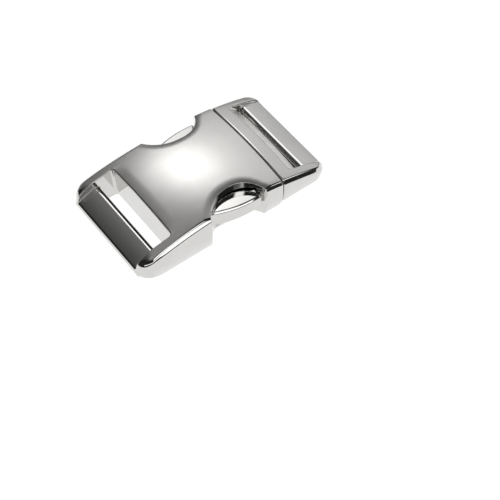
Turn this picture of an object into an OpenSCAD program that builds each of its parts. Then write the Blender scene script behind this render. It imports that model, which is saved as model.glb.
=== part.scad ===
// Side release buckle for 25 mm webbing, fastened.
// X runs along the strap from the socket's strap end to the plug's strap end.
// Y runs across the strap. Z is up, and the flat underside lies at z = 0.
// The outer form is one domed body, cut at the seam into socket and plug.
// Stations along the buckle are measured from the socket's strap end.

/* [Outer form] */
// Length over both strap ends
length = 60; // [57:0.5:66]
// Width over the bulging side walls
width = 33; // [32:0.5:36]
// Height at the crest of the dome
height = 12.8; // [12.2:0.2:15]
// Radius of the domed top
dome_r = 95; // [90:1:120]
// Station of the crest
crest_x = 26.4; // [24:0.2:30]
// Radius of the bulging side walls, seen along the strap
side_r = 20; // [18:1:40]
// Height of the widest line of the side walls
side_z = 6.8; // [6:0.2:7.6]
// Width of the polished chamfer along the socket's top edges
socket_chamfer = 0.8; // [0.3:0.1:1]
// Width of the polished chamfer along the plug's top edges
plug_chamfer = 0.4; // [0.2:0.1:0.8]
// Radius of the four corners, seen from above
corner_r = 4.5; // [3:0.25:5]

/* [Strap ends] */
// Clear width of both strap slots, for 25 mm webbing
strap_w = 26.5; // [25:0.25:27]
// Gap of the socket's strap slot, along the buckle
socket_slot = 5.5; // [5:0.1:6.5]
// Lean of the slot's body side over the strap, in degrees
slot_lean = 3.2; // [0:0.2:5]
// Width of the socket's strap bar
socket_bar = 6.7; // [6:0.1:7]
// Thickness of the socket's strap bar
socket_bar_t = 2.4; // [2:0.1:2.8]
// Height of the socket's strap bar at its inner edge
socket_bar_z = 7.6; // [6.8:0.1:8]
// Slope of the socket's strap bar, in degrees
socket_bar_slope = 21; // [15:1:24]
// Mouth of the plug's strap slot on the dome
plug_slot = 4.1; // [3.8:0.1:5]
// Width of the lead-in slope on the body side of the plug's slot
slot_ramp = 2.6; // [2:0.1:3]
// Depth of the lead-in slope
slot_ramp_h = 2.4; // [2:0.1:3]
// How far the wall below the lead-in slope stands back from its lip
slot_undercut = 0.9; // [0.6:0.1:1.2]
// Width of the plug's strap bar
plug_bar = 6.5; // [6:0.1:7]
// Thickness of the plug's strap bar
plug_bar_t = 2.4; // [2:0.1:2.6]
// Height of the plug's strap bar at its inner edge
plug_bar_z = 7; // [6:0.1:7.2]
// Slope of the plug's strap bar, in degrees
plug_bar_slope = 17; // [12:1:20]
// Radius of the corners of the strap slots
slot_corner_r = 0.9; // [0.4:0.1:1.4]
// Radius of the socket's rounded strap end, seen from the side
socket_nose_r = 3.6; // [3.2:0.1:4]
// Radius of the plug's rounded strap end, seen from the side
plug_nose_r = 3.1; // [2.8:0.1:3.3]

/* [Socket] */
// Length of the plug behind the seam; the socket takes the rest
plug_l = 15.2; // [13.5:0.1:17]
// Gap of the seam between socket and plug
seam_gap = 0.25; // [0.15:0.05:0.5]
// Wall between the strap slot and the cavity
slot_wall = 2.8; // [2:0.2:4]
// Height of the cavity's floor
floor_z = 4; // [3:0.1:4.2]
// Height of the cavity
cavity_h = 5.2; // [4.8:0.1:5.3]
// Thickness of the side walls beside the cavity
side_wall = 3.1; // [2.6:0.1:3.4]
// Width of the mouth between the two ears
mouth_w = 22; // [21:0.25:23]
// Length of the ears, from the notch to the seam
ear_l = 5.6; // [5:0.1:6.5]

/* [Finger notches] */
// Depth of the notches, from the widest line of the side walls
notch_depth = 6.1; // [5.2:0.1:6.5]
// Radius of the long, shallow part of a notch
notch_long_r = 9.4; // [8.5:0.1:10.5]
// Radius of the short part of a notch beside the ear
notch_short_r = 7; // [6.5:0.1:8]

/* [Arms] */
// Running gap above, below and beside the arms
running_gap = 0.2; // [0.15:0.05:0.3]
// Gap between the end of a finger pad and its ear
hook_gap = 0.4; // [0.3:0.05:0.6]
// How far a finger pad stays inside the side walls at its widest point
pad_inset = 1; // [0.8:0.05:1.5]
// Distance of a finger pad's widest point from its hook
pad_lead = 3; // [2:0.5:5]
// Radius of a finger pad's outer edge, seen from above
pad_r = 28; // [24:1:34]
// Width of the bevel along a finger pad's outer edge
pad_chamfer = 0.6; // [0.3:0.1:1]
// Free length of the cavity in front of the arms
front_gap = 5.75; // [1:0.25:7]
// Distance of an arm's inner face from the middle
arm_inner_y = 6.2; // [5.6:0.1:6.8]
// Thickness of the arms where they swing in the plug
eye_h = 2.1; // [1.8:0.1:2.4]
// Radius of the round eye of an arm
eye_r = 2.6; // [2.3:0.1:2.7]

/* [Pins and spring] */
// Radius of the hinge pins
pin_r = 1; // [0.8:0.05:1.3]
// Clearance between a hinge pin and its holes, on the radius
pin_gap = 0.05; // [0.03:0.01:0.08]
// Station of the hinge pins behind the mouth of the tongue
pin_back = 3.1; // [2.8:0.1:3.4]
// Distance of the hinge pins from the arms' inner faces
pin_side = 1.2; // [1.1:0.05:1.3]
// Thickness of the spring leaf
leaf_t = 0.6; // [0.4:0.05:0.8]
// Height of the spring leaf
leaf_h = 3; // [2:0.25:4]
// Length of the spring's straight legs
leaf_leg = 8; // [6:0.5:10]
// Clearance round the spring leaf
leaf_gap = 0.15; // [0.1:0.05:0.3]

/* [Hidden] */
$fn = 96;

zinc = "silver";
steel = "gainsboro";
// Reach past a face so that cuts come out clean
past = 1;
// Depth by which a bar runs into the casting that carries it
root = 0.6;
// How far the strap bars stay behind the strap ends
socket_bar_recess = 0.25;
plug_bar_recess = 0.8;
// Angle at which the sides of the round noses go over into straight lines
nose_angle = 60;
// Height of the socket's nose above the underside, and how far the plug's dips below it
socket_nose_lift = 1.1;
plug_nose_dip = 0.1;
// How far a notch reaches past the edge of its ear, at the widest line
notch_past_ear = 0.3;
// Shift of a notch's long circle to its short one, as a share of the difference of their radii
notch_shift = 0.65;
// How far the tongue starts before the ears
tongue_lead = 0.4;
// Bevel at the front end of a finger pad
pad_bevel = 3;
// Length of an arm's neck in front of the hook
neck_l = 4;

// Centre of the dome below the crest
dome_z = height - dome_r;

// Stations along the buckle
socket_l = length - plug_l - seam_gap;
socket_slot_x0 = socket_bar_recess + socket_bar;
socket_slot_x1 = socket_slot_x0 + socket_slot;
cavity_x0 = socket_slot_x1 + slot_wall;
ear_x = socket_l - ear_l;
plug_x0 = socket_l + seam_gap;
plug_slot_x1 = length - plug_bar_recess - plug_bar;
plug_slot_x0 = plug_slot_x1 - plug_slot;
tongue_x0 = ear_x - tongue_lead;

// Heights inside the socket
arm_z0 = floor_z + running_gap;
arm_h = cavity_h - 2 * running_gap;
arm_mid = floor_z + cavity_h / 2;
eye_z0 = arm_mid - eye_h / 2;
clevis_h = eye_h + 2 * running_gap;

// Places across the buckle
cavity_y = width / 2 - side_wall;
mouth_y = mouth_w / 2;
tongue_y = mouth_y - running_gap;
pad_y = width / 2 - pad_inset;
pin_x = tongue_x0 + pin_back;
pin_y = arm_inner_y + pin_side;

// Notch circles: both reach the same depth, and the short one ends at the ear
notch_y = width / 2 - notch_depth;
notch_short_y = notch_y + notch_short_r;
notch_short_dy = width / 2 - notch_short_y;
notch_short_dx = sqrt(notch_short_r * notch_short_r - notch_short_dy * notch_short_dy);
notch_short_x = ear_x + notch_past_ear - notch_short_dx;
notch_long_x = notch_short_x - notch_shift * (notch_long_r - notch_short_r);

// Half width between the two chamfers of a piece, from its wall at a station x
function chamfer_y(chamfer, x) = width / 2 - side_drop(dome_at(x, width / 2)) - chamfer;
// Reach of a cone about the dome's cross axis that starts at a half width y on the dome
function cone_r(y) = sqrt(dome_r * dome_r - y * y) + y;
// How far the bulging side wall lies inside its widest line at a height
function side_drop(z) = side_r - sqrt(side_r * side_r - (z - side_z) * (z - side_z));
// Height of the dome over a point
function dome_at(x, y) = dome_z + sqrt(dome_r * dome_r - (x - crest_x) * (x - crest_x) - y * y);

// Turns an outline drawn in X and Z into a prism between -y1 and y1
module across(y1) {
    translate([0, y1, 0]) rotate([90, 0, 0]) linear_extrude(height = 2 * y1) children();
}

// Everything is drawn from the socket's strap end and moved to the middle here
module centred() {
    translate([-length / 2, 0, 0]) children();
}

// Outline of the whole buckle from above
module plan_outline() {
    inner_y = width / 2 - corner_r;
    for (x = [corner_r, length - corner_r], y = [-inner_y, inner_y])
        translate([x, y]) circle(r = corner_r);
    translate([0, -inner_y]) square([length, 2 * inner_y]);
    translate([corner_r, -width / 2]) square([length - 2 * corner_r, width]);
}

// Outline of the whole buckle from the side, below the dome: two round noses
// joined by straight lines that leave them at the tangent
module side_outline() {
    socket_z = socket_nose_r + socket_nose_lift;
    plug_z = plug_nose_r - plug_nose_dip;
    slant = tan(90 - nose_angle);
    start = socket_nose_r * (1 - cos(nose_angle));
    end = length - plug_nose_r * (1 - cos(nose_angle));
    low = socket_z - socket_nose_r * sin(nose_angle);
    socket_high = socket_z + socket_nose_r * sin(nose_angle);
    plug_high = plug_z + plug_nose_r * sin(nose_angle);
    line_l = length / 5;
    translate([socket_nose_r, socket_z]) circle(r = socket_nose_r);
    translate([length - plug_nose_r, plug_z]) circle(r = plug_nose_r);
    polygon([
        [start, low],
        [start + low / slant, 0],
        [length - plug_nose_r, 0],
        [length - plug_nose_r, plug_z],
        [end, plug_high],
        [end - line_l, plug_high + line_l * slant],
        [length / 2, height + past],
        [start + line_l, socket_high + line_l * slant],
        [start, socket_high],
    ]);
}

// The domed outer form of the fastened buckle, with its chamfers starting at a half width y
module outer_form(y) {
    intersection() {
        linear_extrude(height = height + past) plan_outline();
        across(width) side_outline();
        translate([crest_x, 0, dome_z]) sphere(r = dome_r);
        chamfer_cones(cone_r(y));
        side_bulge(1);
        side_bulge(-1);
    }
}

// Two cones about the dome's cross axis that cut its long edges back
module chamfer_cones(r) {
    translate([crest_x, 0, dome_z])
        for (side = [-90, 90])
            rotate([side, 0, 0]) cylinder(r1 = r, r2 = r - width, h = width);
}

// Fat cylinder along the buckle that gives one side wall its bulge
module side_bulge(side) {
    translate([-past, side * (width / 2 - side_r), side_z])
        rotate([0, 90, 0]) cylinder(r = side_r, h = length + 2 * past);
}

// Strap slot from above, between two stations
module slot_outline(x0, x1) {
    r = slot_corner_r;
    for (x = [x0 + r, x1 - r], y = [-strap_w / 2 + r, strap_w / 2 - r])
        translate([x, y]) circle(r = r);
    translate([x0 + r, -strap_w / 2]) square([x1 - x0 - 2 * r, strap_w]);
    translate([x0, -strap_w / 2 + r]) square([x1 - x0, strap_w - 2 * r]);
}

// One notch from above, on the side y > 0
module notch_outline() {
    translate([notch_long_x, notch_y + notch_long_r]) circle(r = notch_long_r);
    translate([notch_short_x, notch_short_y]) circle(r = notch_short_r);
}

// Strap bar in X and Z: flat, sloping, with fully rounded edges. The corner of its
// top face is the origin, and w is its level width from there.
module bar_outline(w, t, slope) {
    r = t / 2;
    run = (w - r * (1 - sin(slope))) / cos(slope);
    rotate(-slope) {
        for (x = [r, run]) translate([x, -r]) circle(r = r);
        translate([r, -t]) square([run - r, t]);
    }
}

// Socket: the long casting with the cavity, the notches and the ears
module socket() color(zinc) centred() {
    difference() {
        outer_form(chamfer_y(socket_chamfer, socket_l / 2));
        translate([socket_l, -width, -past]) cube([length, 2 * width, height + 2 * past]);
        translate([-past, -strap_w / 2, -past])
            cube([socket_slot_x0 + past, strap_w, height + 2 * past]);
        translate([socket_slot_x1, 0, 0]) rotate([0, -slot_lean, 0])
            translate([-socket_slot_x1, 0, -past]) linear_extrude(height = height + 2 * past)
                slot_outline(socket_slot_x0 - 2 * slot_corner_r, socket_slot_x1);
        translate([cavity_x0, -cavity_y, floor_z]) cube([ear_x - cavity_x0, 2 * cavity_y, cavity_h]);
        translate([ear_x - past, -mouth_y, floor_z]) cube([ear_l + 2 * past, mouth_w, cavity_h]);
        for (side = [0, 1]) mirror([0, side, 0])
            translate([0, 0, -past]) linear_extrude(height = height + 2 * past) notch_outline();
    }
    translate([socket_slot_x0, 0, socket_bar_z]) mirror([1, 0, 0])
        across(strap_w / 2 + root) bar_outline(socket_bar, socket_bar_t, socket_bar_slope);
}

// Plug: the short casting with the tongue that carries the arms
module plug() color(zinc) centred() {
    difference() {
        outer_form(chamfer_y(plug_chamfer, (socket_l + length) / 2));
        translate([-past, -width, -past]) cube([plug_x0 + past, 2 * width, height + 2 * past]);
        translate([plug_slot_x1, -strap_w / 2, -past])
            cube([plug_bar + 2 * past, strap_w, height + 2 * past]);
        plug_slot_cut();
    }
    translate([plug_slot_x1, 0, plug_bar_z])
        across(strap_w / 2 + root) bar_outline(plug_bar, plug_bar_t, plug_bar_slope);
    tongue();
}

// Plug's strap slot, with its lead-in slope and the undercut below the lip. It turns
// about the dome's long axis, so that the slope starts along a straight line on the dome.
module plug_slot_cut() {
    top_r = dome_at(plug_slot_x0, 0) - dome_z;
    lip_r = top_r - slot_ramp_h;
    lip_x = plug_slot_x0 + slot_ramp;
    low_r = -dome_z - past;
    x1 = plug_slot_x1 + past;
    intersection() {
        translate([0, 0, dome_z]) rotate([0, 90, 0]) rotate_extrude() polygon([
            [top_r, plug_slot_x0],
            [lip_r, lip_x],
            [lip_r - slot_undercut, lip_x - slot_undercut],
            [low_r, lip_x - slot_undercut],
            [low_r, x1],
            [dome_r + past, x1],
            [dome_r + past, plug_slot_x0],
        ]);
        translate([0, -strap_w / 2, -past]) cube([length, strap_w, height + 2 * past]);
    }
}

// Tongue inside the mouth: two cheeks with the eyes of the arms between them
module tongue() {
    difference() {
        translate([tongue_x0, -tongue_y, arm_z0])
            cube([plug_x0 - tongue_x0 + root, 2 * tongue_y, arm_h]);
        translate([tongue_x0 - past, -width / 2, eye_z0 - running_gap])
            cube([pin_back + eye_r + running_gap + past, width, clevis_h]);
        for (side = [-1, 1])
            translate([pin_x, side * pin_y, arm_z0 - past]) cylinder(r = pin_r + pin_gap, h = arm_h + 2 * past);
    }
}

// Arm on the side y > 0: eye, neck and finger pad
module arm() {
    hook_x = ear_x - hook_gap;
    difference() {
        union() {
            intersection() {
                translate([0, 0, arm_z0]) linear_extrude(height = arm_h) arm_outline(hook_x);
                translate([hook_x - pad_lead, pad_y - pad_r, arm_z0])
                    cylinder(r1 = pad_r - pad_chamfer + arm_h, r2 = pad_r - pad_chamfer, h = arm_h);
            }
            translate([0, 0, eye_z0]) linear_extrude(height = eye_h) neck_outline(hook_x);
        }
        translate([pin_x, pin_y, arm_z0]) cylinder(r = pin_r + pin_gap, h = arm_h);
    }
}

// Finger pad with the hook, from above
module arm_outline(hook_x) {
    pad_x0 = cavity_x0 + front_gap;
    intersection() {
        translate([pad_x0, arm_inner_y]) square([tongue_x0 - running_gap - pad_x0, width / 2]);
        translate([hook_x - pad_lead, pad_y - pad_r]) circle(r = pad_r);
        polygon([
            [pad_x0, arm_inner_y],
            [pad_x0, cavity_y - running_gap - pad_bevel],
            [pad_x0 + pad_bevel, cavity_y - running_gap],
            [notch_long_x, width],
            [hook_x, width],
            [hook_x, arm_inner_y],
        ]);
        pad_room(pad_x0);
    }
}

// Space that the cavity and the notch leave to a finger pad, from above
module pad_room(pad_x0) {
    translate([pad_x0, 0]) square([tongue_x0 - pad_x0, cavity_y - running_gap]);
    translate([pad_x0, 0]) square([notch_short_x - pad_x0, width]);
    translate([notch_short_x, notch_short_y]) circle(r = notch_short_r - running_gap);
}

// Thin neck and round eye between the cheeks of the tongue, from above
module neck_outline(hook_x) {
    translate([hook_x - neck_l, pin_y - eye_r / 2]) square([pin_x - hook_x + neck_l, eye_r]);
    translate([pin_x, pin_y]) circle(r = eye_r - running_gap);
}

module arm_left() color(zinc) centred() arm();
module arm_right() color(zinc) centred() mirror([0, 1, 0]) arm();

// Hinge pins, upright through the tongue and the eyes
module pin(side) {
    translate([pin_x, side * pin_y, arm_z0]) cylinder(r = pin_r, h = arm_h);
}
module pin_left() color(steel) centred() pin(1);
module pin_right() color(steel) centred() pin(-1);

// Spring: one bent leaf between the two arms
module spring() color(steel) centred() {
    r = arm_inner_y - leaf_gap;
    bend_x = tongue_x0 - leaf_gap - r;
    translate([0, 0, arm_mid - leaf_h / 2]) linear_extrude(height = leaf_h) {
        difference() {
            translate([bend_x, 0]) circle(r = r);
            translate([bend_x, 0]) circle(r = r - leaf_t);
            translate([bend_x - 2 * r, -r - past]) square([2 * r, 2 * r + 2 * past]);
        }
        for (y = [-r, r - leaf_t])
            translate([bend_x - leaf_leg, y]) square([leaf_leg, leaf_t]);
    }
}

socket();
plug();
arm_left();
arm_right();
pin_left();
pin_right();
spring();
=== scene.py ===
"""Side release buckle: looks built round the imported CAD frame.

Each casting is a smooth field in millimetres, negative inside. The field is meshed, and the
mesh gets the field's own normals, so that fillets, bevels and soft edges are real geometry.
"""
import math

import bpy
import numpy as np
from mathutils import Matrix, Vector


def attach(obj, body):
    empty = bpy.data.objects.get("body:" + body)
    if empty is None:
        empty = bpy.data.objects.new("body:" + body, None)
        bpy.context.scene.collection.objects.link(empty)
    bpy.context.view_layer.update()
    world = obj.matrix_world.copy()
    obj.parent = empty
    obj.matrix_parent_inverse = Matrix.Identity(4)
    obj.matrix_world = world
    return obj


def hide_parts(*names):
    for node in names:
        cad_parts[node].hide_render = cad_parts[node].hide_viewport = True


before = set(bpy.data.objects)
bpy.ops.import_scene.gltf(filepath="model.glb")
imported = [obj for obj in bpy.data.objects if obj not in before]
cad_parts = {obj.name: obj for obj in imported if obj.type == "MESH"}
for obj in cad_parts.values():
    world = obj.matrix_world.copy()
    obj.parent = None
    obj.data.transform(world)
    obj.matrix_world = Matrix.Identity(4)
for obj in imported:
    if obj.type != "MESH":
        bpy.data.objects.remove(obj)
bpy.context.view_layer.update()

MM = 0.001

# Sizes of the CAD part, in millimetres. Stations run from the socket's strap end, and a
# half is a distance from the middle plane.
LENGTH, WIDTH, HEIGHT = 60.0, 33.0, 12.8
HALF = WIDTH / 2
DOME_R, CREST_X = 95.0, 26.4
DOME_Z = HEIGHT - DOME_R
SIDE_R, SIDE_Z, CORNER_R = 20.0, 6.8, 4.5
SOCKET_END, PLUG_START = 44.55, 44.8
STRAP_HALF, SLOT_CORNER_R, SLOT_LEAN = 13.25, 0.9, 0.056
SOCKET_SLOT, PLUG_SLOT = (6.95, 12.45), (48.6, 52.7)
RAMP, RAMP_H, UNDERCUT = 2.6, 2.4, 0.9
SOCKET_NOSE = {"centre_z": 4.7, "r": 3.6, "low_deg": 60}
PLUG_NOSE = {"centre_z": 3.0, "r": 3.1, "low_deg": 90}
NOSE_TOP_DEG = 60
BAR_R, BAR_END_HALF = 1.2, 14.2
CAVITY_START, CAVITY_END, CAVITY_HALF = 15.25, 38.95, 13.4
CAVITY_LOW, CAVITY_TOP = 4.0, 9.3
MOUTH_HALF = 11.0
# Circles of a notch, and the pins: station, half, radius
NOTCH_LONG = (30.75, 19.8, 9.4)
NOTCH_SHORT = (32.31, 17.4, 7.0)
PIN_HOLE = (41.65, 7.4, 1.05)
GAP = 0.2
ARM_LOW, ARM_TOP, ARM_MID = 4.2, 9.0, 6.6
ARM_START, ARM_INNER, ARM_HALF, HOOK_X = 21.0, 6.2, 13.2, 38.55
PAD_HALF, PAD_R, PAD_LEAD, PAD_FRONT = 15.5, 28.0, 3, 24.0
EYE_R, EYE_HALF_H = 2.4, 1.05
NECK_X, NECK_HALF_L, NECK_HALF_W = 38.0, 3.5, 1.3
TONGUE_START, TONGUE_HALF, TONGUE_HALF_H = 38.55, 10.8, 2.4
FORK_HALF_H, FORK_DEPTH = 1.25, 2.8

# How far a form runs into the one that it joins
JOIN = 1

# Fillets, from crisp to broad
HAIR, CRISP, FINE, SMALL, MEDIUM, SOFT, BROAD = 0.03, 0.06, 0.1, 0.2, 0.3, 0.4, 0.5
CROWN_FILLET, ARM_FILLET, ARM_FOOT_FILLET = 0.22, 0.15, 0.12
SOCKET_SEAM_FILLET, PLUG_SEAM_FILLET = 0.25, 0.6

# Bevels along the top edges: leg and lean
SOCKET_BEVEL, EAR_BEVEL, PLUG_BEVEL, PAD_BEVEL = (0.8, 1.0), (1.05, 1.4), (1.0, 1.1), (0.52, 1.0)
# Where the socket's edges go over into the softer ones of its strap end, and into its ears
TIP_ZONE, EAR_ZONE = (3.0, 9.0), (24.0, 30.0)
TIP_SIDE_SOFT, TIP_TOP_SOFT = 0.3, 0.5
# How the dome rolls off towards an edge: depth, reach, and how far past the edge it goes on
NOTCH_ROLL, SLOT_ROLL, SIDE_ROLL = (0.28, 2.1, 1.2), (0.3, 3.2, 1), (0.22, 2.4, 1.4)
# The roll towards the socket's slot starts at this station and ends before the cheeks
SLOT_ROLL_X, SLOT_ROLL_HALF, SLOT_ROLL_FADE = 11.8, 13.2, 3

# Strap bars: level width, height at the inner edge, slope, and the flats polished along the
# inner edge, each an angle and a depth
SOCKET_BAR = {"width": 6.7, "top_z": 7.6, "slope": 21, "flats": ((33.5, 0.04), (45.5, 0.06))}
PLUG_BAR = {"width": 6.5, "top_z": 7.0, "slope": 17, "flats": ()}
# Swell of a bar's top face: where its line lies on the face, and its radius
SWELL_SHARE, SWELL_R = 0.55, 45
# Softer edge of the plug's slot at its cheeks: its extra fillet, and where that comes in and is
# full, as a distance from the middle plane and as one past the start of the slot
CHEEK_SOFT, CHEEK_ZONE, LIP_ZONE = 0.6, (12.3, 13.2), (0.5, 2)
# Slope of a finger pad's top along and across the buckle, the point that it turns about, and
# the factor that brings its field nearer to a distance
PAD_SLOPE, PAD_POINT, PAD_SCALE = (0.05, 0.065), (25, 13), 0.995


def smax(a, b, k):
    """Intersection of two fields with a fillet about 0.85 k in radius."""
    h = np.maximum(k - np.abs(a - b), 0.0)
    return np.maximum(a, b) + h * h / (4.0 * k)


def smin(a, b, k):
    """Union of two fields with a fillet."""
    return -smax(-a, -b, k)


def step(value, start, end):
    """Smooth change from 0 to 1 as a value goes from start to end."""
    t = np.clip((value - start) / (end - start), 0, 1)
    return t * t * (3 - 2 * t)


def fade(value, start, end):
    """Smooth change from 1 to 0 as a value goes from start to end."""
    return 1 - step(value, start, end)


def circle(x, y, centre_x, centre_y, r):
    """Upright cylinder."""
    return np.hypot(x - centre_x, y - centre_y) - r


def between(value, low, high):
    """Layer between two levels."""
    return np.abs(value - (low + high) / 2) - (high - low) / 2


def box2(x, y, x0, x1, half, r):
    """Upright prism over a rounded rectangle from station x0 to x1."""
    qx = between(x, x0, x1) + r
    qy = np.abs(y) - half + r
    return np.hypot(np.maximum(qx, 0), np.maximum(qy, 0)) + np.minimum(np.maximum(qx, qy), 0) - r


def dome(x, y, z):
    """Ball whose top is the domed face."""
    return np.sqrt((x - CREST_X) ** 2 + y * y + (z - DOME_Z) ** 2) - DOME_R


def wall(x, y, z):
    """Outer walls: the plan outline, drawn in as the side bulges."""
    t = z - SIDE_Z
    root = np.sqrt(SIDE_R**2 - t * t)
    return box2(x, np.abs(y) + SIDE_R - root, 0, LENGTH, HALF, CORNER_R) * root / SIDE_R


def nose(u, z, centre_z, r, low_deg):
    """Round strap end seen from the side. u is the distance from the end plane, inwards."""
    px, pz = r - u, z - centre_z
    up, low = math.radians(NOSE_TOP_DEG), math.radians(low_deg)
    up_c, up_s, low_c, low_s = math.cos(up), math.sin(up), math.cos(low), math.sin(low)
    above = up_c * px + up_s * pz
    below = low_c * px - low_s * pz
    tip = (up_c * pz - up_s * px < 0) & (-low_s * px - low_c * pz < 0)
    return np.where(tip, np.hypot(px, pz), np.maximum(above, below)) - r


def bevel(a, b, leg, lean):
    """Flat bevel along the edge of two fields. It is the steeper, the larger lean is.

    The divisor keeps the field near to a distance in millimetres."""
    return (a + lean * b + leg) / (0.5 + lean)


def roll_off(distance, depth, reach, past):
    """How deep a face has sunk at a distance from its edge."""
    return depth * np.clip(1 - distance / reach, 0, past) ** 2


def notch(x, y):
    """Both finger notches."""
    return smin(circle(x, np.abs(y), *NOTCH_LONG), circle(x, np.abs(y), *NOTCH_SHORT), SOFT)


def strap_bar(u, y, z, width, top_z, slope, flats):
    """Strap bar with fully round edges. u runs from its inner edge to the strap end.

    Returns the bar and how far a point lies from the flat of its top face."""
    c, s = math.cos(math.radians(slope)), math.sin(math.radians(slope))
    run = (width - BAR_R * (1 - s)) / c
    a = u * c - (z - top_z) * s
    b = u * s + (z - top_z) * c + (a - SWELL_SHARE * run) ** 2 / (2 * SWELL_R)
    off = np.maximum(BAR_R - a, a - run)
    body = np.hypot(np.maximum(off, 0), b + BAR_R) - BAR_R
    for angle, depth in flats:
        turn = math.radians(angle)
        flat = (b + BAR_R) * math.cos(turn) + (BAR_R - a) * math.sin(turn) + depth - BAR_R
        body = smax(body, flat, HAIR)
    return smax(body, np.abs(y) - BAR_END_HALF, FINE), np.maximum(off, -b)


def socket_parts(x, y, z):
    """The socket's field, the field of its dome, and the distance from the flat of its bar."""
    crown, side = smax(dome(x, y, z), nose(x, z, **SOCKET_NOSE), BROAD), wall(x, y, z)
    cut = notch(x, y)
    tip, ear = fade(x, *TIP_ZONE), step(x, *EAR_ZONE)
    before_cheek = np.clip((SLOT_ROLL_HALF - np.abs(y)) / SLOT_ROLL_FADE, 0, 1)
    top = crown + roll_off(cut, *NOTCH_ROLL)
    top = top + roll_off(x - SLOT_ROLL_X, *SLOT_ROLL) * before_cheek
    top = top + roll_off(-side, *SIDE_ROLL) * ear
    leg, lean = (a + (b - a) * ear for a, b in zip(SOCKET_BEVEL, EAR_BEVEL))
    edge = smax(bevel(crown, side, leg, lean), side, SMALL + TIP_SIDE_SOFT * tip)
    body = smax(top, edge, CROWN_FILLET + TIP_TOP_SOFT * tip)
    body = smax(body, -z, CRISP)
    body = smax(body, x - SOCKET_END, SOCKET_SEAM_FILLET)
    body = smax(body, -cut, CRISP)
    slot = box2(x + SLOT_LEAN * z, y, -LENGTH, SOCKET_SLOT[1], STRAP_HALF, SLOT_CORNER_R)
    body = smax(body, -slot, SOFT)
    bar, flat = strap_bar(SOCKET_SLOT[0] - x, y, z, **SOCKET_BAR)
    body = smin(body, bar, SOFT)
    layer = between(z, CAVITY_LOW, CAVITY_TOP)
    room = smax(box2(x, y, CAVITY_START, CAVITY_END, CAVITY_HALF, BROAD), layer, MEDIUM)
    mouth = smax(box2(x, y, CAVITY_END - JOIN, LENGTH, MOUTH_HALF, MEDIUM), layer, MEDIUM)
    return smax(body, -np.minimum(room, mouth), SMALL), top, flat


def plug_parts(x, y, z):
    """The plug's field, and the fields of its dome, bar and lead-in slope."""
    side = wall(x, y, z)
    top = smax(dome(x, y, z), nose(LENGTH - x, z, **PLUG_NOSE), BROAD)
    top = top + roll_off(-side, *SIDE_ROLL)
    body = smax(smax(top, bevel(top, side, *PLUG_BEVEL), CROWN_FILLET), side, SMALL)
    body = smax(body, -z, CRISP)
    body = smax(body, PLUG_START - x, PLUG_SEAM_FILLET)
    cut, lead = plug_slot(x, y, z)
    start, full = (PLUG_SLOT[0] + v for v in LIP_ZONE)
    cheek = step(x, start, full) * step(np.abs(y), *CHEEK_ZONE)
    body = smax(body, -cut, FINE + CHEEK_SOFT * cheek)
    bar, flat = strap_bar(x - PLUG_SLOT[1], y, z, **PLUG_BAR)
    body = smin(body, bar, SOFT)
    return np.minimum(body, tongue(x, y, z)), top, flat, lead


def plug_slot(x, y, z):
    """The plug's slot, which turns about the dome's long axis, and its lead-in slope."""
    x0, turn = PLUG_SLOT[0], math.atan2(RAMP_H, RAMP)
    lip_x, top_r = x0 + RAMP, math.sqrt(DOME_R**2 - (x0 - CREST_X) ** 2)
    rho = np.hypot(y, z - DOME_Z)
    lead = (rho - top_r) * math.cos(turn) + (x - x0) * math.sin(turn)
    below_lip = (x - lip_x + top_r - RAMP_H - rho) / math.sqrt(2)
    back = np.minimum(below_lip, x - lip_x + UNDERCUT)
    return smax(-smax(lead, back, SMALL), np.abs(y) - STRAP_HALF, BROAD), lead


def tongue(x, y, z):
    """The plug's tongue, forked for the eyes of the arms."""
    pin_x, pin_half, hole_r = PIN_HOLE
    high = np.abs(z - ARM_MID)
    body = box2(x, y, TONGUE_START, PLUG_START + JOIN, TONGUE_HALF, MEDIUM)
    body = smax(body, high - TONGUE_HALF_H, SMALL)
    fork = smax(high - FORK_HALF_H, x - pin_x - FORK_DEPTH, FINE)
    body = smax(body, -fork, FINE)
    return smax(body, -circle(x, np.abs(y), pin_x, pin_half, hole_r), FINE)


def arm_parts(x, y, z):
    """The arm on the side y > 0, and its top."""
    pin_x, pin_half, hole_r = PIN_HOLE
    short_x, short_half, short_r = NOTCH_SHORT
    flank = circle(x, y, HOOK_X - PAD_LEAD, PAD_HALF - PAD_R, PAD_R)
    flank = smax(flank, ARM_START - x, BROAD)
    flank = smax(flank, ((y - ARM_HALF) - (x - PAD_FRONT)) / math.sqrt(2), MEDIUM)
    flank = smax(flank, x - HOOK_X + GAP, MEDIUM)
    room = np.minimum(y - ARM_HALF, circle(x, y, short_x, short_half, short_r - GAP))
    flank = smax(flank, np.minimum(room, x - short_x), FINE)
    flank = smax(flank, ARM_INNER - y, MEDIUM)
    slant = z - ARM_TOP + PAD_SLOPE[0] * (x - PAD_POINT[0]) + PAD_SLOPE[1] * (y - PAD_POINT[1])
    top = smax(z - ARM_TOP, slant * PAD_SCALE, FINE)
    body = smax(flank, top, FINE)
    body = smax(body, bevel(flank, top, *PAD_BEVEL), ARM_FILLET)
    body = smax(body, ARM_LOW - z, ARM_FOOT_FILLET)
    neck = np.maximum(np.abs(x - NECK_X) - NECK_HALF_L, np.abs(y - pin_half) - NECK_HALF_W)
    eye = smin(circle(x, y, pin_x, pin_half, EYE_R), neck, SOFT)
    eye = smax(eye, np.abs(z - ARM_MID) - EYE_HALF_H, ARM_FILLET)
    return smax(np.minimum(body, eye), -circle(x, y, pin_x, pin_half, hole_r), FINE), top


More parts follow.
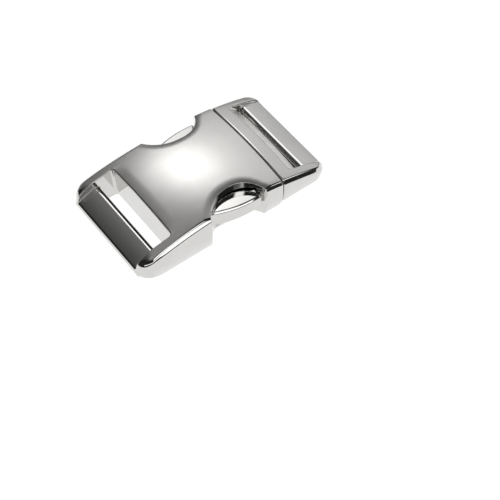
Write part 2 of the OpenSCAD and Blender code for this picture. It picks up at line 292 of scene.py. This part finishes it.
# The corners of a cell, and its twelve edges, each as two corners
CORNERS = np.array([(i, j, k) for i in (0, 1) for j in (0, 1) for k in (0, 1)])
EDGES = [(a, b) for a in range(8) for b in range(a + 1, 8)
         if np.abs(CORNERS[a] - CORNERS[b]).sum() == 1]
# Pitch of the grid, and how many of its layers are worked out together, to spare memory
GRID, SLAB = 0.14, 24
# Smallest length that is divided by
TINY = 1e-9


def sample(field, lo, hi, h):
    """Values of a field on a grid of pitch h."""
    n = np.ceil((np.array(hi) - np.array(lo)) / h).astype(int) + 1
    axes = [lo[i] + h * np.arange(n[i]) for i in range(3)]
    values = np.empty(n, np.float32)
    for i in range(0, n[0], SLAB):
        grid = np.meshgrid(axes[0][i:i + SLAB], axes[1], axes[2], indexing="ij")
        values[i:i + SLAB] = field(*grid)
    return values


def crossed_cells(inside):
    """Cells that the surface passes through, and the number of each in a grid of cells."""
    n = np.array(inside.shape) - 1
    total = np.zeros(n, np.int8)
    for i, j, k in CORNERS:
        total += inside[i:n[0] + i, j:n[1] + j, k:n[2] + k]
    cells = np.argwhere((total > 0) & (total < len(CORNERS)))
    index = np.full(n, -1, np.int32)
    index[tuple(cells.T)] = np.arange(len(cells))
    return cells, index


def cell_points(values, cells):
    """One point in each cell: the middle of the places where the surface cuts its edges."""
    places, count = np.zeros((len(cells), 3)), np.zeros(len(cells))
    for a, b in EDGES:
        pa, pb = cells + CORNERS[a], cells + CORNERS[b]
        fa, fb = values[tuple(pa.T)].astype(float), values[tuple(pb.T)].astype(float)
        cut = (fa < 0) != (fb < 0)
        t = np.where(cut, fa / np.where(cut, fa - fb, 1.0), 0.0)[:, None]
        places += np.where(cut[:, None], pa + (pb - pa) * t, 0.0)
        count += cut
    return places / count[:, None]


def nets(field, lo, hi, h):
    """Closed quad mesh of the zero surface of field in a box, by surface nets."""
    values = sample(field, lo, hi, h)
    inside = values < 0
    cells, index = crossed_cells(inside)
    quads = []
    for axis in range(3):
        u, v = (axis + 1) % 3, (axis + 2) % 3
        a, b = [slice(None)] * 3, [slice(None)] * 3
        a[axis], b[axis] = slice(0, -1), slice(1, None)
        for s in (u, v):
            a[s] = b[s] = slice(1, -1)
        first, second = inside[tuple(a)], inside[tuple(b)]
        for away in (False, True):
            where = np.argwhere(first & ~second if away else second & ~first)
            where[:, u] += 1
            where[:, v] += 1
            ring = []
            for du, dv in ((-1, -1), (0, -1), (0, 0), (-1, 0)):
                c = where.copy()
                c[:, u] += du
                c[:, v] += dv
                ring.append(index[tuple(c.T)])
            quads.append(np.stack(ring if away else ring[::-1], 1))
    return np.array(lo) + h * cell_points(values, cells), np.concatenate(quads)


def gradient(field, p, eps=0.004):
    """Slope of a field at points, by differences over a distance of eps each way."""
    g = np.empty_like(p)
    for i in range(3):
        d = np.zeros(3)
        d[i] = eps
        g[:, i] = (field(*(p + d).T) - field(*(p - d).T)) / (2 * eps)
    return g


def settle(field, p, steps, limit):
    """Moves points onto the zero surface of field, by no more than limit in each step."""
    flattest = 0.05
    for _ in range(steps):
        g = gradient(field, p)
        move = -field(*p.T)[:, None] * g / np.maximum((g * g).sum(1), flattest)[:, None]
        far = np.linalg.norm(move, axis=1)
        p = p + move * np.minimum(1.0, limit / np.maximum(far, TINY))[:, None]
    return p


def relax(p, faces, share):
    """Moves each point towards the middle of its neighbours."""
    total, count = np.zeros_like(p), np.zeros(len(p))
    for i in range(faces.shape[1]):
        a, b = faces[:, i], faces[:, (i + 1) % faces.shape[1]]
        for one, other in ((a, b), (b, a)):
            for axis in range(3):
                total[:, axis] += np.bincount(one, p[other, axis], len(p))
            count += np.bincount(one, minlength=len(p))
    return p + share * (total / np.maximum(count, 1)[:, None] - p)


def new_object(name, verts, faces):
    """Adds a mesh object to the scene."""
    mesh = bpy.data.meshes.new(name)
    mesh.from_pydata(verts, [], faces)
    mesh.validate()
    obj = bpy.data.objects.new(name, mesh)
    bpy.context.scene.collection.objects.link(obj)
    return obj


def thin_out(obj, share):
    """Leaves about a share of the triangles of an object."""
    name = obj.name
    thin = obj.modifiers.new("thin", "DECIMATE")
    thin.ratio = share
    view = bpy.context.evaluated_depsgraph_get()
    done = bpy.data.meshes.new_from_object(obj.evaluated_get(view))
    obj.modifiers.clear()
    obj.data = done
    obj.data.name = name


def casting(name, parts, lo, hi, triangles):
    """Builds one piece from its field: nets, thinned to a number of triangles, settled again.

    Returns the object with its points and their normals, still in millimetres."""
    def field(x, y, z):
        return parts(x, y, z)[0]

    h = GRID
    verts, quads = nets(field, lo, hi, h)
    verts = settle(field, verts, steps=2, limit=h / 2)
    verts = settle(field, relax(verts, quads, share=0.6), steps=3, limit=h / 2)
    obj = new_object(name, verts, quads.tolist())
    if 2 * len(quads) > triangles:
        thin_out(obj, triangles / (2 * len(quads)))
    mesh = obj.data
    p = np.empty(len(mesh.vertices) * 3)
    mesh.vertices.foreach_get("co", p)
    p = settle(field, p.reshape(-1, 3), steps=2, limit=h / 3)
    normals = gradient(field, p)
    normals /= np.maximum(np.linalg.norm(normals, axis=1), TINY)[:, None]
    miss = np.abs(field(*p.T)).max()
    print(name, len(p), "points", len(mesh.polygons), "faces, largest miss", miss)
    return obj, p, normals


def place(obj, p, normals):
    """Puts the points in the part's frame, in metres, and shades them by their normals."""
    mesh = obj.data
    mesh.vertices.foreach_set("co", ((p - (LENGTH / 2, 0, 0)) * MM).ravel())
    for poly in mesh.polygons:
        poly.use_smooth = True
    mesh.update()
    mesh.normals_split_custom_set_from_vertices(normals.tolist())


def mark_satin(obj, values):
    """Keeps how satin each point is, from 0 for polished to 1."""
    satin = obj.data.attributes.new("satin", "FLOAT", "POINT")
    satin.data.foreach_set("value", values.astype(np.float32))


# Pieces: the box that each is meshed in, and its number of triangles
SOCKET_BOX, SOCKET_TRIANGLES = ((-0.5, -17, -0.5), (45.3, 17, 13.4)), 190000
PLUG_BOX, PLUG_TRIANGLES = ((38.0, -17, -0.5), (60.5, 17, 11.6)), 150000
ARM_BOX, ARM_TRIANGLES = ((20.5, 4.6, 3.8), (44.5, 16.2, 9.4)), 40000
# How far from a satin face the polish starts, and where it is full
DOME_POLISH, BAR_POLISH, LEAD_POLISH = (0.003, 0.012), (0.05, 0.4), (0.02, 0.06)
# The satin faces of the bars and of the lead-in slope end here
SOCKET_BAR_END, PLUG_BAR_START, LEAD_END, BAR_FACE_HALF = 7.5, 52.3, 51.5, 13.6

socket, p, n = casting("Socket", socket_parts, *SOCKET_BOX, SOCKET_TRIANGLES)
_, top, flat = socket_parts(*p.T)
on_bar = (p[:, 0] < SOCKET_BAR_END) * (np.abs(p[:, 1]) < BAR_FACE_HALF)
mark_satin(socket, np.maximum(fade(np.abs(top), *DOME_POLISH), fade(flat, *BAR_POLISH) * on_bar))
place(socket, p, n)

plug, p, n = casting("Plug", plug_parts, *PLUG_BOX, PLUG_TRIANGLES)
_, top, flat, lead = plug_parts(*p.T)
on_bar = (p[:, 0] > PLUG_BAR_START) * (np.abs(p[:, 1]) < BAR_FACE_HALF)
satin = np.maximum(fade(np.abs(top), *DOME_POLISH), fade(flat, *BAR_POLISH) * on_bar)
mark_satin(plug, np.maximum(satin, fade(np.abs(lead), *LEAD_POLISH) * (p[:, 0] < LEAD_END)))
place(plug, p, n)

arm_left, p, n = casting("Arm_left", arm_parts, *ARM_BOX, ARM_TRIANGLES)
place(arm_left, p, n)
mirror = (1, -1, 1)
faces = [list(f.vertices)[::-1] for f in arm_left.data.polygons]
arm_right = new_object("Arm_right", p * mirror, faces)
place(arm_right, p * mirror, n * mirror)

for piece, node, slot in (
    (socket, "socket", "satin_nickel"),
    (plug, "plug", "satin_nickel"),
    (arm_left, "arm_left", "polished_nickel"),
    (arm_right, "arm_right", "polished_nickel"),
):
    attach(piece, "root")
    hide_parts(node)


# Materials
NICKEL_DARK, NICKEL_LIGHT = (0.59, 0.584, 0.57, 1), (0.665, 0.66, 0.646, 1)
SATIN_ROUGH, POLISH_ROUGH, STEEL_ROUGH = 0.3, 0.07, 0.2
# Noise per metre: the grain of the satin faces, and slow clouds of tone
GRAIN_SCALE, CLOUD_SCALE, NOISE_DETAIL = 9000.0, 260.0, 3.0
# Depth of the grain in metres, and its strength on satin and on plain polished metal
GRAIN_DEPTH, SATIN_RELIEF, PLAIN_RELIEF = 0.00002, 0.35, 0.02
# Range of the noise that is used, and how far it sways the two roughnesses
NOISE_RANGE, POLISH_SWAY, SATIN_SWAY = (0.3, 0.7), (0.8, 1.3), (0.9, 1.1)


def material(name):
    """New material with a Principled shader."""
    m = bpy.data.materials.new(name)
    m.use_nodes = True
    tree = m.node_tree
    tree.nodes.clear()
    out = tree.nodes.new("ShaderNodeOutputMaterial")
    shader = tree.nodes.new("ShaderNodeBsdfPrincipled")
    tree.links.new(shader.outputs["BSDF"], out.inputs["Surface"])
    return m, tree, shader


def noise(tree, scale):
    """Noise fixed to the piece."""
    coord = tree.nodes.new("ShaderNodeTexCoord")
    node = tree.nodes.new("ShaderNodeTexNoise")
    node.inputs["Scale"].default_value = scale
    node.inputs["Detail"].default_value = NOISE_DETAIL
    tree.links.new(coord.outputs["Object"], node.inputs["Vector"])
    return node.outputs["Fac"]


def spread(tree, value, start, end, low, high, smooth=False):
    """Change from low to high as value goes from start to end."""
    node = tree.nodes.new("ShaderNodeMapRange")
    if smooth:
        node.interpolation_type = "SMOOTHSTEP"
    for name, v in (("From Min", start), ("From Max", end), ("To Min", low), ("To Max", high)):
        node.inputs[name].default_value = v
    tree.links.new(value, node.inputs["Value"])
    return node.outputs["Result"]


def nickel(name, satin_rough, polish_rough, masked):
    """Plated metal. If masked, each point is as satin as its attribute says."""
    m, tree, shader = material(name)
    shader.inputs["Metallic"].default_value = 1.0
    grain, cloud = noise(tree, GRAIN_SCALE), noise(tree, CLOUD_SCALE)
    tone = tree.nodes.new("ShaderNodeValToRGB")
    for element, colour in zip(tone.color_ramp.elements, (NICKEL_DARK, NICKEL_LIGHT)):
        element.color = colour
    tree.links.new(cloud, tone.inputs["Fac"])
    tree.links.new(tone.outputs["Color"], shader.inputs["Base Color"])
    rough = tree.nodes.new("ShaderNodeMix")
    rough.data_type = "FLOAT"
    for side, value, mean, sway in (("A", cloud, polish_rough, POLISH_SWAY),
                                    ("B", grain, satin_rough, SATIN_SWAY)):
        low, high = (mean * v for v in sway)
        tree.links.new(spread(tree, value, *NOISE_RANGE, low, high), rough.inputs[side])
    tree.links.new(rough.outputs["Result"], shader.inputs["Roughness"])
    relief = tree.nodes.new("ShaderNodeBump")
    relief.inputs["Distance"].default_value = GRAIN_DEPTH
    tree.links.new(grain, relief.inputs["Height"])
    tree.links.new(relief.outputs["Normal"], shader.inputs["Normal"])
    if masked:
        mask = tree.nodes.new("ShaderNodeAttribute")
        mask.attribute_name = "satin"
        tree.links.new(mask.outputs["Fac"], rough.inputs["Factor"])
        strength = spread(tree, mask.outputs["Fac"], 0.0, 1.0, 0.0, SATIN_RELIEF)
        tree.links.new(strength, relief.inputs["Strength"])
    else:
        rough.inputs["Factor"].default_value = 0.0
        relief.inputs["Strength"].default_value = PLAIN_RELIEF
    return m


hidden = [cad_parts[name] for name in ("pin_left", "pin_right", "spring")]
for pieces, metal in (
    ((socket, plug), nickel("satin_nickel", SATIN_ROUGH, POLISH_ROUGH, masked=True)),
    ((arm_left, arm_right), nickel("polished_nickel", SATIN_ROUGH, POLISH_ROUGH, masked=False)),
    (hidden, nickel("steel", SATIN_ROUGH, STEEL_ROUGH, masked=False)),
):
    for piece in pieces:
        piece.data.materials.clear()
        piece.data.materials.append(metal)


# Camera at the photograph's angle, in millimetres
YAW, PITCH, ROLL = math.radians(-35.82), math.radians(53.66), math.radians(-1.08)
DISTANCE, SHIFT_X, SHIFT_Y, PIVOT = 379.55, -10.51, 18.04, (2.85, 0, 3.0)
SENSOR, LENS, CLIP = 36.0, 104.30, (0.01, 20)

level = math.cos(PITCH)
back = Vector((math.sin(YAW) * level, -math.cos(YAW) * level, math.sin(PITCH)))
right = Vector((math.cos(YAW), math.sin(YAW), 0))
up = back.cross(right)
right, up = (math.cos(ROLL) * right + math.sin(ROLL) * up,
             math.cos(ROLL) * up - math.sin(ROLL) * right)
eye = Vector(PIVOT) - SHIFT_X * right - SHIFT_Y * up + DISTANCE * back
camera = bpy.data.objects.new("camera", bpy.data.cameras.new("camera"))
turn = Matrix((right, up, back)).transposed().to_4x4()
camera.matrix_world = Matrix.Translation(eye * MM) @ turn
camera.data.sensor_width = SENSOR
camera.data.lens = LENS
camera.data.clip_start, camera.data.clip_end = CLIP
bpy.context.scene.collection.objects.link(camera)
bpy.context.scene.camera = camera


def calc(tree, operation, *values):
    """One step of arithmetic on numbers and outputs of nodes."""
    node = tree.nodes.new("ShaderNodeMath")
    node.operation = operation
    for entry, value in zip(node.inputs, values):
        if isinstance(value, (int, float)):
            entry.default_value = value
        else:
            tree.links.new(value, entry)
    return node.outputs[0]


def along(tree, ray, axis):
    """How far a direction or a place lies along an axis."""
    node = tree.nodes.new("ShaderNodeVectorMath")
    node.operation = "DOT_PRODUCT"
    tree.links.new(ray, node.inputs[0])
    node.inputs[1].default_value = axis
    return node.outputs["Value"]


# Floor: a round white sheet just below the buckle, lit by itself. A painted shadow darkens its
# glow under the buckle, all but a strip under the socket's slot. Lengths are in metres.
SHEET_R, SHEET_Z, SHEET_SIDES = 0.35, -0.00002, 96
FLOOR_WHITE, FLOOR_GLOW = 0.3, 0.95
# Edges of the painted shadow across and along, and of the unshaded strip under the slot
SHADE_X, SHADE_Y = (0.0270, 0.0285), (0.0105, 0.0120)
LIT_SLOT_X, LIT_SLOT_HALF = 0.0203, (0.0029, 0.0032)

ring = [(SHEET_R * math.cos(t), SHEET_R * math.sin(t), SHEET_Z)
        for t in np.linspace(0, 2 * math.pi, SHEET_SIDES + 1)[:-1]]
floor = new_object("floor", ring, [tuple(range(SHEET_SIDES))])
m, tree, shader = material("floor")
shader.inputs["Base Color"].default_value = (FLOOR_WHITE, FLOOR_WHITE, FLOOR_WHITE, 1)
shader.inputs["Roughness"].default_value = 1.0
shader.inputs["Specular IOR Level"].default_value = 0.0
shader.inputs["Emission Color"].default_value = (1, 1, 1, 1)
spot = tree.nodes.new("ShaderNodeTexCoord").outputs["Object"]
spot_x, spot_y = along(tree, spot, (1, 0, 0)), along(tree, spot, (0, 1, 0))
in_x = spread(tree, calc(tree, "ABSOLUTE", spot_x), *SHADE_X, 1, 0, smooth=True)
in_y = spread(tree, calc(tree, "ABSOLUTE", spot_y), *SHADE_Y, 1, 0, smooth=True)
off_slot = calc(tree, "ABSOLUTE", calc(tree, "ADD", spot_x, LIT_SLOT_X))
off_slot = spread(tree, off_slot, *LIT_SLOT_HALF, 0, 1, smooth=True)
# Painted shadow: the floor's glow falls to nothing inside the buckle's outline, but for the
# slot's strip
shade = calc(tree, "MULTIPLY", calc(tree, "MULTIPLY", in_x, in_y), off_slot)
glow = calc(tree, "MULTIPLY_ADD", shade, -FLOOR_GLOW, FLOOR_GLOW)
tree.links.new(glow, shader.inputs["Emission Strength"])
floor.data.materials.append(m)

# Studio: white to the eye, and cards in the dark for the reflections
STUDIO_LIGHT = 0.03
# Cards: azimuth, elevation, half width, half height, soft edge, brightness, turn
CARDS = (
    (61, 49, 9.3, 5.6, 5.2, 4, -37),
    (25, 33.5, 30, 23.5, 3, 0.9, 12),
    (69, 56, 28.5, 20, 5, 0.33, 17),
    (280, 30.5, 17, 6, 1.5, 2.3, -10),
    (315, 25, 7, 5, 1, 2.1, 0),
    (228, 30, 30, 4, 1.2, 2.2, 0),
    (275, 53, 11, 7, 4, 2.6, 0),
    (98, 16, 20, 16, 3, 0.2, 0),
    (200, 80, 16, 16, 8, 0.4, 0),
)


def card(tree, ray, azimuth, elevation, wide, high, soft, glow, turn):
    """Light of a soft-edged white card in a direction. All but its brightness is in degrees."""
    a, e, t = (math.radians(v) for v in (azimuth, elevation, turn))
    centre = Vector((math.cos(a) * math.cos(e), math.sin(a) * math.cos(e), math.sin(e)))
    level = Vector((-centre.y, centre.x, 0)).normalized()
    upright = centre.cross(level)
    across = math.cos(t) * level + math.sin(t) * upright
    upright = math.cos(t) * upright - math.sin(t) * level
    mask = calc(tree, "GREATER_THAN", along(tree, ray, centre), 0.0)
    for axis, half in ((across, wide), (upright, high)):
        offset = calc(tree, "ABSOLUTE", along(tree, ray, axis))
        start, end = (math.sin(math.radians(v)) for v in (half - soft, half + soft))
        mask = calc(tree, "MULTIPLY", mask, spread(tree, offset, start, end, 1, 0, smooth=True))
    return calc(tree, "MULTIPLY", mask, glow)


world = bpy.data.worlds.new("studio")
world.use_nodes = True
tree = world.node_tree
seen = tree.nodes["Background"]
seen.inputs["Color"].default_value = (1, 1, 1, 1)
ray = tree.nodes.new("ShaderNodeTexCoord").outputs["Generated"]
light = STUDIO_LIGHT
for values in CARDS:
    light = calc(tree, "ADD", light, card(tree, ray, *values))
cards = tree.nodes.new("ShaderNodeBackground")
tree.links.new(light, cards.inputs["Strength"])
path = tree.nodes.new("ShaderNodeLightPath")
choose = tree.nodes.new("ShaderNodeMixShader")
tree.links.new(path.outputs["Is Camera Ray"], choose.inputs["Fac"])
tree.links.new(cards.outputs["Background"], choose.inputs[1])
tree.links.new(seen.outputs["Background"], choose.inputs[2])
tree.links.new(choose.outputs["Shader"], tree.nodes["World Output"].inputs["Surface"])
bpy.context.scene.world = world

scene = bpy.context.scene
scene.view_settings.view_transform = "Standard"
